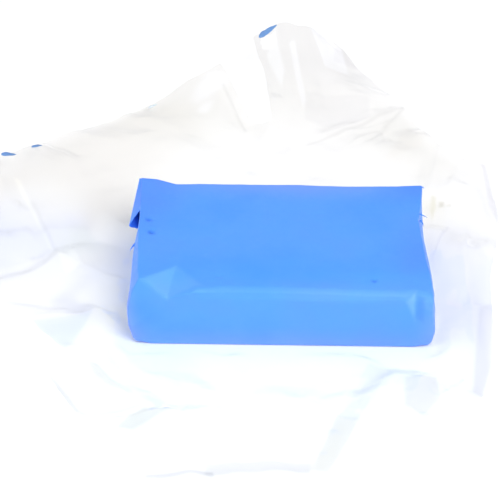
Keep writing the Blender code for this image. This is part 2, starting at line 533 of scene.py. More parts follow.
def with_facets(p):
    """The block's points with two facets that meet in a valley, and one that cuts the corner below."""
    p = pressed_flat(p, FACET_LEFT, FACET_FOOT, FACET_LOW)
    x, y, z = p[:, 0], p[:, 1], p[:, 2]
    left_facet = plane_through(FACET_LEFT, FACET_BACK, FACET_FOOT)
    right_facet = plane_through(FACET_BACK, FACET_RIGHT, FACET_FOOT)
    dent = np.maximum(left_facet(x, y), right_facet(x, y))
    near = (z > 12.0) & (x > -47.0) & (x < -18.0)
    return np.column_stack([x, y, np.where(near, np.minimum(z, dent), z)])


def bar_surface():
    """The block: thin rounded edges, and the dents and folds that its wrapper pressed into it."""
    sides = ((-BAR_HALF[0], BAR_HALF[0]), (-BAR_HALF[1], BAR_HALF[1]), (BAR_SEAT, BAR_TOP))
    vertices, faces = box_surface(*(axis_places(low, high) for low, high in sides))
    x, y, z = rounded_box(vertices).T
    z = shaped_top(x, y, z)
    y = shaped_front_and_back(x, y, z)
    x = shaped_ends(x, y, z)
    return with_facets(np.column_stack([x, y, z])), faces


def lerp(a, b, t):
    """The point a share t of the way from a to b."""
    return np.array(a) * (1 - t) + np.array(b) * t


def grid_shell(outer, inner):
    """A closed shell between two grids of points of the same size."""
    rows, columns = outer.shape[0], outer.shape[1]
    count = rows * columns
    vertices = np.vstack([outer.reshape(-1, 3), inner.reshape(-1, 3)])
    faces = []
    for i in range(rows - 1):
        for j in range(columns - 1):
            near, far = i * columns + j, (i + 1) * columns + j
            quad = [near, near + 1, far + 1, far]
            faces.append(quad)
            faces.append([q + count for q in reversed(quad)])
    rim = list(range(columns))
    rim += [i * columns + columns - 1 for i in range(1, rows)]
    rim += [(rows - 1) * columns + j for j in range(columns - 2, -1, -1)]
    rim += [i * columns for i in range(rows - 2, 0, -1)]
    for a, b in zip(rim, rim[1:] + rim[:1]):
        faces.append([b, a, a + count, b + count])
    return vertices, faces


LIP_ROWS = 40
LIP_COLUMNS = 29
LIP_SOFTNESS = 0.015  # how round the ridge is
LIP_THICKNESS = (0.6, 0.22)  # mm, at the back and at the torn front edge


def lip_surface():
    """A skin of clay that stands off the left end behind its middle. Its front edge is open."""
    grid = np.zeros((LIP_ROWS + 1, LIP_COLUMNS + 1, 3))
    sharp = math.sqrt(LIP_SOFTNESS)
    for i in range(LIP_ROWS + 1):
        t = i / LIP_ROWS
        top = lerp((-47.2, 28.2, 24.7), (-46.9, 13.6, 22.9), t)
        ridge = lerp((-48.1, 28.4, 24.5), (-50.8, 12.4, 16.9), t)
        low = lerp((-47.0, 28.0, 17.0), (-47.3, 14.2, 13.9), t)
        middle = (top + low) / 2
        for k in range(LIP_COLUMNS + 1):
            s = 2 * k / LIP_COLUMNS - 1
            fall = (math.sqrt(s * s + LIP_SOFTNESS) - sharp) / (math.sqrt(1 + LIP_SOFTNESS) - sharp)
            grid[i, k] = middle + s * (low - top) / 2 + (1 - fall) * (ridge - middle)
    torn = gradient_noise(np.arange(LIP_COLUMNS + 1) / 3.1, np.full(LIP_COLUMNS + 1, 0.5), 53)
    grid[-1, :, 1] += 0.5 * torn
    normals = np.cross(np.gradient(grid, axis=1), np.gradient(grid, axis=0))
    normals /= np.linalg.norm(normals, axis=2)[:, :, None]
    thickness = np.linspace(*LIP_THICKNESS, LIP_ROWS + 1)[:, None, None]
    return grid_shell(grid, grid - normals * thickness)


# Bits of torn clay, as points along each and its radius at the root, in mm.
TAGS = [
    ([(44.9, 14.4, 21.9), (46.3, 13.0, 22.3), (47.9, 11.9, 22.0)], 0.42),
    ([(45.5, 10.4, 21.9), (46.4, 8.9, 22.0), (46.3, 7.2, 21.7)], 0.34),
    ([(46.2, 27.9, 22.7), (47.3, 28.2, 23.2), (47.8, 27.0, 23.1)], 0.50),
    ([(-47.9, 0.9, 17.9), (-49.0, -0.2, 17.6), (-49.6, -1.9, 16.9)], 0.45),
]


def tag_surface(points, radius, rings=10, sides=8):
    """A thin tapering bit of clay along a bent line."""
    a, b, c = (np.array(p) for p in points)
    places = np.linspace(0.0, 1.0, rings)
    line = np.array([(1 - t) ** 2 * a + 2 * t * (1 - t) * b + t**2 * c for t in places])
    heading = np.gradient(line, axis=0)
    vertices = [line[0]]
    for t, centre, forward in zip(places, line, heading):
        forward = forward / np.linalg.norm(forward)
        sideways = np.cross(forward, (0.0, 0.0, 1.0))
        sideways /= np.linalg.norm(sideways)
        upward = np.cross(sideways, forward)
        for k in range(sides):
            turn = 2 * math.pi * k / sides
            reach = radius * (1.05 - t) * (1 + 0.2 * math.sin(3 * k + 7 * t))
            around = math.cos(turn) * sideways + 0.7 * math.sin(turn) * upward
            vertices.append(centre + reach * around)
    vertices.append(line[-1])
    faces = [[0, 1 + (k + 1) % sides, 1 + k] for k in range(sides)]
    for i in range(rings - 1):
        for k in range(sides):
            low, high = 1 + i * sides, 1 + (i + 1) * sides
            faces.append([low + k, low + (k + 1) % sides, high + (k + 1) % sides, high + k])
    last = 1 + (rings - 1) * sides
    faces += [[last + k, last + (k + 1) % sides, last + sides] for k in range(sides)]
    return np.array(vertices), faces


# Painted light and shade in the clay's colour: a painted sheen along the back edge, on the ends and on
# the loose skin, a painted highlight on the front band and along the foot, painted shade behind the
# front edge, at the front left corner and in the pits, and darker patches at the top's back corners, at
# its right end and on the torn bits. Each is the middle of a soft patch, its reach along x, y and z in
# mm, and the factors for red, green and blue.
CLAY_PAINTED_LIGHT = [
    ((5, 29, 23), (40, 7, 9), (1.68, 1.0, 1.0)),
    ((0, -19, 23), (52, 8, 5), (0.82, 0.95, 1.0)),
    ((-45, 20, 23), (9, 16, 8), (0.95, 0.84, 1.0)),
    ((45, 27, 23), (9, 9, 8), (0.78, 0.84, 1.0)),
    ((44, -8, 22), (9, 15, 8), (0.95, 0.87, 1.0)),
    ((-45, -28, 14), (6, 6, 5), (0.80, 0.88, 1.0)),
    ((22, -27, 20.5), (22, 4, 2.4), (1.22, 1.06, 1.0)),
    ((0, -28, 0.5), (60, 5, 5), (1.62, 0.985, 1.0)),
    ((-49.6, -19, 11), (2.8, 12, 9), (2.1, 1.02, 0.97)),
    ((-47.0, -29, 5), (4.0, 5, 7), (1.35, 0.98, 1.0)),
    ((48, -25, 8), (4, 8, 7), (1.7, 1.06, 1.0)),
    ((-50, 20, 20), (2.5, 10, 8), (1.28, 1.0, 0.93)),
    ((-44.0, 7.6, 22.3), (0.9, 0.9, 2.0), (0.50, 0.65, 0.78)),
    ((-42.8, 0.8, 22.3), (1.0, 1.0, 2.0), (0.45, 0.60, 0.75)),
    ((28.9, -22.4, 22.0), (0.7, 0.7, 2.0), (0.45, 0.60, 0.75)),
    ((48.2, 11.9, 22.2), (1.3, 1.5, 1.0), (0.55, 0.55, 0.50)),
    ((47.0, 8.0, 22.0), (1.0, 1.6, 1.0), (0.55, 0.55, 0.50)),
]
# Painted highlights and painted shade on the flat facets that the wrapper pressed in, seen from above
# or from the front:
# lighter where a facet faces the light, darker on the far side of the front crease.
FACET_PAINTED_LIGHT = [
    ("top", [FACET_LEFT[:2], FACET_BACK[:2], FACET_FOOT[:2]], (1.42, 1.18, 1.0)),
    ("top", [FACET_BACK[:2], FACET_RIGHT[:2], FACET_FOOT[:2]], (1.22, 1.07, 1.0)),
    ("front", [(38.9, 18.9), (41.7, 20.6), (41.6, 12.9)], (1.62, 1.24, 1.0)),
    ("front", [(42.3, 20.0), (44.6, 20.0), (44.6, 11.0), (42.0, 13.0)], (0.86, 0.87, 1.0)),
    ("front", [(44.0, 20.2), (47.4, 20.2), (47.4, 15.5), (44.0, 17.0)], (1.25, 1.06, 1.0)),
]


def clay_painted_light(x, y, z):
    """The factors of painted light and shade on the clay's colour at each place."""
    painted_light = np.ones((len(x), 3))
    for (mx, my, mz), (rx, ry, rz), factors in CLAY_PAINTED_LIGHT:
        here = np.exp(-(((x - mx) / rx) ** 2) - ((y - my) / ry) ** 2 - ((z - mz) / rz) ** 2)
        painted_light *= 1 + here[:, None] * (np.array(factors) - 1)
    for side, corners, factors in FACET_PAINTED_LIGHT:
        if side == "top":
            here = inside_pane(x, y, corners) * smoothstep(17.5, 19.0, z)
        else:
            here = inside_pane(x, z, corners) * smoothstep(-23.0, -25.0, y)
        painted_light *= 1 + here[:, None] * (np.array(factors) - 1)
    return painted_light


def make_bar(material):
    """The block, its loose skin at the left end and the bits of torn clay, as one piece."""
    parts = [bar_surface(), lip_surface()] + [tag_surface(*tag) for tag in TAGS]
    vertices = []
    faces = []
    start = 0
    for part_vertices, part_faces in parts:
        vertices.append(part_vertices)
        faces.extend([i + start for i in face] for face in part_faces)
        start += len(part_vertices)
    points = np.vstack(vertices)
    block = mesh_object("clay_block", points * MM, faces, material)
    # The block's vertices carry its patches of painted light and shade.
    paint(block, "painted_light", clay_painted_light(*points.T))
    return block


# ---------------------------------------------------------------------------------------------
# The film

FILM_NODES = ["film_base", "film_back_flap", "film_front_flap"]
CAD_FILM = 0.4  # mm
FILM_THICKNESS = 0.10  # mm
FILM_LIFT = 0.02  # mm, how far the film's underside is kept off the table
FILM_STEP = 0.70  # mm between points of the sheet
CORNER_CUT = 0.05  # the share of each side that is cut off at the outline's corners
SEAM_REACH = 5.0  # mm, where the sheet thins out towards the seam under the bar
SEAM_SHARE = 0.04  # of its thickness at the seam
SHARP_EDGE = math.radians(50)
CELL = 1.5  # mm, the raster that the CAD film's heights are read on


def film_outline():
    """The whole sheet's outline in mm, read from the top faces of the CAD panels."""
    fold = FOLD_Y / MM
    segments = []
    for name in FILM_NODES:
        bm = bmesh.new()
        bm.from_mesh(frame["nodes"][name].data)
        bmesh.ops.remove_doubles(bm, verts=bm.verts, dist=1e-6)
        bm.normal_update()
        for edge in bm.edges:
            if len([f for f in edge.link_faces if f.normal.z > 0.3]) != 1:
                continue
            a, b = (Vector(v.co).xy / MM for v in edge.verts)
            if abs(abs(a.y) - fold) < 0.4 and abs(abs(b.y) - fold) < 0.4:
                continue
            segments.append((a, b))
        bm.free()
    points = list(segments.pop(0))
    while segments:
        end = points[-1]
        gaps = [min((a - end).length, (b - end).length) for a, b in segments]
        a, b = segments.pop(gaps.index(min(gaps)))
        if (b - end).length < (a - end).length:
            a, b = b, a
        if (a - end).length > 1e-3:
            points.append(a)
        points.append(b)
    if (points[0] - points[-1]).length < 1e-3:
        points.pop()
    return np.array([tuple(p) for p in points])


def cut_corners(points):
    """A closed outline with its corners cut a little."""
    following = np.roll(points, -1, axis=0)
    near = points * (1 - CORNER_CUT) + following * CORNER_CUT
    far = points * CORNER_CUT + following * (1 - CORNER_CUT)
    return np.stack([near, far], 1).reshape(-1, 2)


def spaced_loop(points, step):
    """Points at an even step along a closed outline."""
    closed = np.vstack([points, points[:1]])
    lengths = np.linalg.norm(np.diff(closed, axis=0), axis=1)
    along = np.concatenate([[0], np.cumsum(lengths)])
    places = np.linspace(0, along[-1], int(along[-1] / step), endpoint=False)
    return np.column_stack([np.interp(places, along, closed[:, k]) for k in (0, 1)])


def lattice_inside(loop, step):
    """Points of a triangular lattice inside a closed outline, clear of it by half a step."""
    tree = KDTree(len(loop))
    for number, point in enumerate(loop):
        tree.insert((point[0], point[1], 0.0), number)
    tree.balance()
    following = np.roll(loop, -1, axis=0)
    low, high = loop.min(axis=0), loop.max(axis=0)
    inside = []
    rows = np.arange(low[1] + 0.01, high[1], step * math.sqrt(3) / 2)
    for number, row in enumerate(rows):
        crosses = (loop[:, 1] > row) != (following[:, 1] > row)
        a, b = loop[crosses], following[crosses]
        hits = np.sort(a[:, 0] + (row - a[:, 1]) / (b[:, 1] - a[:, 1]) * (b[:, 0] - a[:, 0]))
        xs = np.arange(low[0] + 0.5 * step * (number % 2), high[0], step)
        xs = xs[np.searchsorted(hits, xs) % 2 == 1]
        inside.extend((x, row) for x in xs if tree.find((x, row, 0.0))[2] > 0.5 * step)
    return np.array(inside)


class CadHeights:
    """The CAD film's underside as smooth heights over the table, in mm."""

    def __init__(self):
        vertices = []
        triangles = []
        for name in FILM_NODES:
            mesh = frame["nodes"][name].data
            start = len(vertices)
            vertices.extend(Vector(v.co) / MM for v in mesh.vertices)
            triangles.extend([start + i for i in polygon.vertices] for polygon in mesh.polygons)
        tree = BVHTree.FromPolygons(vertices, triangles)
        spots = np.array([tuple(v) for v in vertices])
        self.low = spots[:, :2].min(axis=0) - 4 * CELL
        high = spots[:, :2].max(axis=0) + 4 * CELL
        nx, ny = (np.ceil((high - self.low) / CELL).astype(int) + 1)
        heights = np.zeros((nx, ny))
        known = np.zeros((nx, ny))
        for i in range(nx):
            for j in range(ny):
                start = (self.low[0] + i * CELL, self.low[1] + j * CELL, 200.0)
                hit = tree.ray_cast(start, (0.0, 0.0, -1.0))[0]
                if hit is not None:
                    heights[i, j] = max(0.0, hit.z - CAD_FILM)
                    known[i, j] = 1.0
        narrow, wide = (
            blurred(heights, kernel) / np.maximum(blurred(known, kernel), 1e-6)
            for kernel in (bell(4, 1.1), bell(22, 9.0))
        )
        # The CAD panels lie flat along the two fold lines. Past the bar's ends the film carries over.
        x = self.low[0] + np.arange(nx)[:, None] * CELL
        y = self.low[1] + np.arange(ny)[None, :] * CELL
        near = np.exp(-(((np.abs(y) - FOLD_Y / MM) / 15.0) ** 4))
        near = near * smoothstep(3.0, 12.0, np.abs(x) - BAR_HALF[0])
        self.heights = narrow * (1 - near) + wide * near

    def __call__(self, x, y):
        return grid_value(self.heights, (x - self.low[0]) / CELL, (y - self.low[1]) / CELL)


# Folds that stay in the film where it was wrapped round the bar and twisted shut, as
# (x0, y0, x1, y1, height, half width) in mm. A negative height is a valley. They stand at a share
# of these heights.
FOLD_SHARE = 0.62
FOLDS = [
    (-114, -13, -72.5, 9.5, 2.4, 4.0),
    (-72.5, 9.5, -86, 40, 1.8, 3.5),
    (-72.5, 9.5, -95, 30, 1.4, 3.0),
    (-72.5, 9.5, -50, 2, 1.2, 3.0),
    (-63, -12, -52, -22, 1.6, 3.0),
    (-92, -9, -60, -14, -1.2, 3.0),
    (-80, -19, -52, -14, 1.2, 2.2),
    (62, -34, 61, 2, 2.2, 3.2),
    (61, 2, 63, 34, 2.6, 3.2),
    (66, -36, 70, 20, -1.2, 3.0),
    (56, 34, 54, 10, 1.2, 2.4),
    (47.5, 107, 13, 87, 1.8, 3.0),
    (46, 101, 26, 80, 1.5, 2.4),
    (36, 92, 44, 84, -1.2, 3.0),
    (60, 83, 53, 54, 1.8, 3.0),
    (68, 72, 58, 48, 1.5, 2.6),
    (4, 138, 8, 104, 2.0, 3.0),
    (-6, 124, 5, 100, -1.6, 3.0),
    (12, 136, 17, 104, -1.5, 3.0),
    (-3, 98, -12, 74, 1.6, 3.0),
    (8, 104, 2, 70, 1.4, 3.0),
    (-23, 122, -12, 98, 1.2, 3.0),
    (-60, -40, -46, -56, 1.5, 2.2),
    (-55, -47, -66, -58, 1.2, 2.4),
    (-53, -68, -31, -64, 1.6, 2.4),
    (-46, -72, -31, -64, 1.2, 2.2),
    (-56, -58, -40, -80, 1.0, 2.6),
    (36, -41, 11, -86, 1.8, 4.0),
    (28, -44, 4, -84, -1.0, 3.4),
    (45, -42, 38, -62, 1.4, 3.0),
    (58, -44, 50, -56, 1.4, 2.6),
    (-104, 62, -84, 20, 1.6, 3.0),
    (-97, 58, -78, 22, -1.0, 2.6),
    (-40, 52, -12, 84, 0.8, 2.2),
    (14, 86, 44, 97, 1.2, 2.4),
    (10, 92, 40, 108, -1.0, 2.6),
    (32, 80, 47, 107, 1.3, 2.2),
    (72, 66, 74, 42, 1.6, 2.2),
    (-118, 57, -96, 69, 2.6, 9.0),
    (-15, 139, 5, 141.5, 5.0, 7.0),
]


def folds(x, y):
    """The height that the folds add, in mm."""
    total = np.zeros_like(x)
    sway = 1.2 * gradient_noise(x / 18.0, y / 18.0, 71)
    for x0, y0, x1, y1, height, width in FOLDS:
        length = math.hypot(x1 - x0, y1 - y0)
        ux, uy = (x1 - x0) / length, (y1 - y0) / length
        along = ((x - x0) * ux + (y - y0) * uy) / length
        across = np.abs((x - x0) * -uy + (y - y0) * ux + sway)
        taper = smoothstep(-0.08, 0.15, along) * smoothstep(1.08, 0.8, along)
        total += FOLD_SHARE * height * taper * np.clip(1 - across / width, 0, 1) ** 1.25
    return total


def crumple(x, y):
    """Flat facets between straight creases, in every direction and several sizes, in mm."""
    random = np.random.default_rng(8)
    total = np.zeros_like(x)
    for size in (38.0, 29.0, 22.0, 17.0, 13.0, 10.0):
        for turn in range(2):
            angle = random.uniform(0, math.pi)
            seed = int(random.integers(1, 9999))
            bend = 0.30 * size * gradient_noise(x / (2.2 * size), y / (2.2 * size), seed)
            phase = (x * math.cos(angle) + y * math.sin(angle) + bend) / size + random.uniform()
            wave = 1 - np.abs(2 * (phase - np.floor(phase)) - 1) * 2
            here = smoothstep(-0.10, 0.50, gradient_noise(x / (2.0 * size), y / (2.0 * size), seed + 5))
            total += 0.022 * size * wave * here
    return total


# How much light the film lets through at some places, with painted light in it: x, y, reach in mm, then
# red, green and blue.
# It is clearest in front and where it was stretched over the block. Painted shadow greys it beside the
# bar's left end, a painted warm reflection greys it at the back, and a painted blue bounce from the bar
# tints it at the sides and in front.
FILM_TINTS_AND_PAINTED_LIGHT = [
    (-80, 65, 26, 0.925, 0.915, 0.895),
    (-60, 80, 22, 0.965, 0.955, 0.935),
    (-38, 99, 20, 0.925, 0.915, 0.885),
    (-26, 78, 18, 1.0, 1.0, 0.99),
    (20, 78, 24, 0.99, 0.985, 0.975),
    (-92, 28, 14, 0.90, 0.92, 0.985),
    (-85, 47, 9, 0.965, 0.965, 0.96),
    (-78, -5, 15, 0.96, 0.965, 0.975),
    (-68.5, -6.5, 4.0, 0.88, 0.89, 0.91),
    (-66.0, 14.0, 5.0, 0.955, 0.955, 0.94),
    (-38.0, -36.0, 8.0, 0.95, 0.985, 1.0),
    (-64.0, -11.0, 3.0, 0.86, 0.87, 0.90),
    (-52.5, -19.0, 5.0, 1.0, 1.0, 0.95),
    (-57.0, -3.0, 5.0, 1.0, 1.0, 0.97),
    (-56.0, 30.0, 5.5, 1.0, 1.0, 0.99),
    (-69.0, 20.0, 5.0, 0.90, 0.92, 0.92),
    (60.0, 5.0, 5.0, 1.0, 1.0, 0.98),
    (6, 130, 20, 0.905, 0.895, 0.88),
    (2, 112, 12, 0.965, 0.96, 0.94),
    (-27.0, 112.5, 3.2, 1.0, 1.0, 1.0),
    (-25.5, 103.0, 2.4, 1.0, 1.0, 1.0),
    (30, 115, 13, 0.985, 0.98, 0.97),
    (48, 88, 15, 0.945, 0.94, 0.92),
    (53.5, 43, 4.5, 0.98, 0.975, 0.95),
    (62, 30, 12, 1.0, 1.0, 1.0),
    (54, -8, 9, 1.0, 0.99, 1.0),
    (68, -5, 9, 0.92, 0.94, 0.985),
    (62, -30, 12, 0.95, 0.965, 1.0),
    (0, -50, 40, 0.98, 1.0, 1.0),
    (28, -52, 14, 0.97, 0.99, 1.0),
    (0, -85, 30, 1.0, 1.0, 1.0),
]
TINT_SPREAD = 30.0  # mm, so that a tint with a short reach counts for more
CLEAR_WEIGHT = 0.03  # of clear film, which shows where no tint reaches

# Panes of painted shade and painted highlight on the film: darker where its creases and facets lose the
# light, lighter where they shine, and a brownish crumple beside the bar's back right corner. Corners in
# order, then factors on the tint.
FILM_PAINTED_LIGHT_PANES = [
    ([(-81.0, -20.3), (-61.4, -16.3), (-68.1, -34.9), (-74.5, -27.6)], (0.91, 0.945, 1.0)),
    (
        [(-72.5, -46.5), (-69.1, -50.2), (-60.4, -64.6), (-63.5, -63.8), (-70.3, -53.5)],
        (0.83, 0.84, 0.85),
    ),
    ([(-49.4, -70.8), (-44.8, -72.9), (-32.9, -64.7), (-42.1, -62.7)], (0.86, 0.88, 0.87)),
    ([(-61.1, -64.4), (-42.2, -60.9), (-42.1, -62.2), (-60.3, -66.4)], (0.90, 0.90, 0.90)),
    ([(-61.0, -40.2), (-57.4, -41.5), (-46.1, -56.9), (-58.1, -45.6)], (0.90, 0.90, 0.88)),
    ([(-39.8, -89.4), (-20.1, -89.4), (-20.0, -91.0), (-39.8, -90.8)], (0.78, 0.79, 0.83)),
    ([(-22.5, -85.8), (9.0, -84.5), (8.0, -89.0), (-22.3, -90.6)], (0.855, 0.865, 0.88)),
    ([(27.8, -37.3), (36.1, -41.5), (23.6, -66.0), (16.7, -63.0)], (0.945, 0.945, 0.92)),
    ([(16.7, -63.0), (23.6, -66.0), (13.4, -88.2), (8.4, -87.5)], (0.88, 0.89, 0.88)),
    ([(38.4, -45.2), (48.4, -43.6), (48.4, -56.5), (43.1, -62.5), (37.5, -59.0)], (0.905, 0.905, 0.90)),
    ([(63.9, -15.1), (69.0, -9.9), (65.7, -39.8), (61.0, -56.0), (59.0, -51.7)], (0.90, 0.90, 0.915)),
    ([(71.8, 67.0), (73.6, 65.2), (76.0, 46.3), (75.2, 34.0), (73.4, 44.0)], (0.86, 0.86, 0.89)),
    ([(-95.5, 58.5), (-93.2, 57.3), (-75.1, 11.9), (-77.5, 15.2)], (1.05, 1.05, 1.03)),
    ([(-88.1, 44.0), (-86.9, 45.2), (-75.5, 15.2), (-76.4, 14.1)], (0.94, 0.94, 0.94)),
    ([(-75.0, 10.8), (-70.8, 16.4), (-66.8, 8.8), (-71.6, 3.2)], (1.05, 1.05, 1.03)),
    ([(-96.0, 1.0), (-73.0, 15.0), (-72.5, 12.0), (-96.0, -5.0)], (0.955, 0.955, 0.955)),
    ([(22.0, 143.0), (31.0, 133.5), (20.0, 129.0)], (0.95, 0.945, 0.955)),
    ([(11.5, 139.0), (17.0, 124.0), (26.0, 126.0), (24.0, 140.0), (16.0, 145.0)], (1.09, 1.10, 1.12)),
    ([(-5.5, 130.5), (-2.4, 138.2), (1.4, 121.7), (0.3, 115.8)], (1.08, 1.09, 1.10)),
    ([(3.2, 131.3), (5.2, 131.4), (9.5, 106.8), (8.3, 102.5)], (1.09, 1.10, 1.12)),
    ([(9.3, 111.0), (33.3, 110.1), (33.5, 98.3), (20.3, 93.2), (9.1, 96.3)], (0.965, 0.965, 0.97)),
    ([(46.6, 95.4), (54.9, 90.9), (51.3, 80.8), (37.9, 70.7)], (0.99, 0.985, 0.98)),
    ([(9.3, 82.2), (20.5, 88.5), (20.5, 87.0), (9.3, 81.2)], (0.93, 0.93, 0.93)),
    ([(20.5, 88.5), (46.5, 107.6), (46.4, 106.2), (20.5, 87.0)], (0.92, 0.92, 0.92)),
    ([(32.9, 82.8), (46.4, 106.9), (46.7, 105.5), (33.2, 81.4)], (0.92, 0.92, 0.92)),
    ([(-22.0, 113.8), (-12.6, 91.0), (-13.4, 90.2), (-22.6, 112.4)], (0.92, 0.92, 0.92)),
    ([(53.2, 50.0), (54.8, 49.4), (54.4, 44.5), (53.0, 39.8), (52.3, 43.0)], (0.93, 0.92, 0.85)),
    ([(55.8, 47.4), (57.5, 47.4), (57.3, 45.0), (55.5, 44.4)], (0.85, 0.84, 0.79)),
    ([(58.5, 46.3), (59.9, 46.3), (59.8, 45.1), (58.4, 45.0)], (0.92, 0.91, 0.87)),
    ([(55.0, 27.9), (57.7, 35.5), (58.3, 34.4), (51.9, 18.2), (50.9, 18.2)], (0.91, 0.91, 0.95)),
    ([(69.0, 63.4), (70.4, 63.4), (64.3, 22.6), (62.6, 22.6)], (1.05, 1.05, 1.03)),
    ([(64.3, 22.6), (60.2, -10.1), (58.2, -10.1), (62.6, 22.6)], (1.06, 1.05, 1.02)),
]


def film_tint_and_painted_light(x, y):
    """The share of red, green and blue light that the film lets through at each place, with painted
    shade, reflections and highlights in it.
    """
    colour = np.full((len(x), 3), CLEAR_WEIGHT)
    weight = np.full(len(x), CLEAR_WEIGHT)
    warp_x = x + 5.0 * gradient_noise(x / 16.0, y / 16.0, 301)
    warp_y = y + 5.0 * gradient_noise(x / 16.0, y / 16.0, 302)
    for place_x, place_y, reach, *share in FILM_TINTS_AND_PAINTED_LIGHT:
        spread = ((warp_x - place_x) ** 2 + (warp_y - place_y) ** 2) / reach**2
        here = np.exp(-spread) * TINT_SPREAD / reach
        colour += here[:, None] * np.array(share)
        weight += here
    colour /= weight[:, None]
    for corners, share in FILM_PAINTED_LIGHT_PANES:
        inside = inside_pane(x, y, corners)[:, None]
        colour *= 1 - inside * (1 - np.array(share))
    return np.minimum(colour, 1.0)


def film_heights(x, y, cad):
    """The sheet's underside over the table, in mm."""
    clear_x = np.maximum(np.abs(x) - BAR_HALF[0], 0)
    clear_y = np.maximum(np.abs(y) - BAR_HALF[1], 0)
    from_bar = np.hypot(clear_x, clear_y)
    loose = smoothstep(0.3, 7.0, from_bar)
    at_fold = np.exp(-(((np.abs(y) - FOLD_Y / MM) / 5.0) ** 2))
    height = cad(x, y) + loose * (1 - 0.15 * at_fold) * (folds(x, y) + 1.15 * crumple(x, y) + 0.35)
    # A soft floor keeps it on the table, and it lies nearly flat under the bar.
    return 0.5 * (height + np.sqrt(height**2 + 0.12**2)) * np.minimum(1, loose + 0.05)


def film_sheet(cad):
    """The whole sheet: its points in mm, its triangles and its normals."""
    loop = spaced_loop(cut_corners(film_outline()), FILM_STEP)
    wobble = np.column_stack(
        [gradient_noise(loop[:, 0] / 4.0, loop[:, 1] / 4.0, seed) for seed in (91, 92)]
    )
    loop = loop + 0.25 * wobble
    inner = lattice_inside(loop, FILM_STEP)
    flat = np.vstack([loop, inner])
    count = len(loop)
    ring = [(i, (i + 1) % count) for i in range(count)]
    out = delaunay_2d_cdt([Vector(p) for p in flat], ring, [], 1, 1e-6)
    xy = np.array([tuple(p) for p in out[0]])
    triangles = np.array(out[2])
    z = film_heights(xy[:, 0], xy[:, 1], cad)
    points = np.column_stack([xy, z])
    a, b, c = (points[triangles[:, k]] for k in range(3))
    face_normals = np.cross(b - a, c - a)
    down = face_normals[:, 2] < 0
    triangles[down] = triangles[down][:, ::-1]
    face_normals[down] *= -1
    normals = np.zeros_like(points)
    for k in range(3):
        np.add.at(normals, triangles[:, k], face_normals)
    normals /= np.linalg.norm(normals, axis=1)[:, None]
    return points, triangles, normals


def film_half(name, points, triangles, normals, keep, material):
    """One half of the sheet as a thin closed shell. The tint, with its painted shade and reflections,
    counts once for each of its two skins.
    """
    part = triangles[keep]
    edges = {}
    for triangle in part.tolist():
        for a, b in zip(triangle, triangle[1:] + triangle[:1]):
            key = (min(a, b), max(a, b))
            edges[key] = None if key in edges else (a, b)
    rim = [edge for edge in edges.values() if edge is not None]
    used = np.unique(part)
    index = np.full(len(points), -1)
    index[used] = np.arange(len(used))
    lower = points[used]
    # The film's tint with its painted shade, reflections and highlights, shared between the two skins.
    tint_and_painted_light = np.sqrt(film_tint_and_painted_light(lower[:, 0], lower[:, 1]))
    seam = smoothstep(0.0, SEAM_REACH, np.abs(lower[:, 1]))[:, None]
    lower[:, 2] += FILM_LIFT
    upper = lower + normals[used] * FILM_THICKNESS * (SEAM_SHARE + (1 - SEAM_SHARE) * seam)
    count = len(used)
    local = index[part]
    faces = [tuple(t + count) for t in local] + [tuple(t[::-1]) for t in local]
    for a, b in rim:
        i, j = int(index[a]), int(index[b])
        faces.append((i, j, j + count, i + count))
    obj = mesh_object(name, np.vstack([lower, upper]) * MM, faces, material)
    obj.data.set_sharp_from_angle(angle=SHARP_EDGE)
    paint(obj, "tint_and_painted_light", np.vstack([tint_and_painted_light, tint_and_painted_light]))
    return obj


def make_film(cad, material):
    """The wrapper in two halves, split across the middle under the bar."""
    points, triangles, normals = film_sheet(cad)
    middle = points[triangles][:, :, 1].mean(axis=1)
    back = film_half("film_back", points, triangles, normals, middle > 0, material)
    front = film_half("film_front", points, triangles, normals, middle <= 0, material)
    return back, front


# How far a smear lies from its CAD mark, in mm, and how far it is turned from it, in degrees.
MARK_SHIFTS = {
    "clay_mark_1": (-0.6, 0.5, 0.0),
    "clay_mark_2": (-0.4, -0.8, 0.0),
    "clay_mark_4": (0.4, 1.6, -40.0),
}
MARK_NODES = [name for name in sorted(frame["nodes"]) if name.startswith("clay_mark")]
THIN_MARK = "clay_mark_3"
MARK_RINGS = 40
MARK_SIDES = 28
MARK_RISE = 0.8  # of the CAD mark's height
MARK_SEAT = 0.05  # mm over the film


def turned(direction, degrees):
    """A flat direction turned to the left."""
    c, s = math.cos(math.radians(degrees)), math.sin(math.radians(degrees))
    return np.array([c * direction[0] - s * direction[1], s * direction[0] + c * direction[1]])


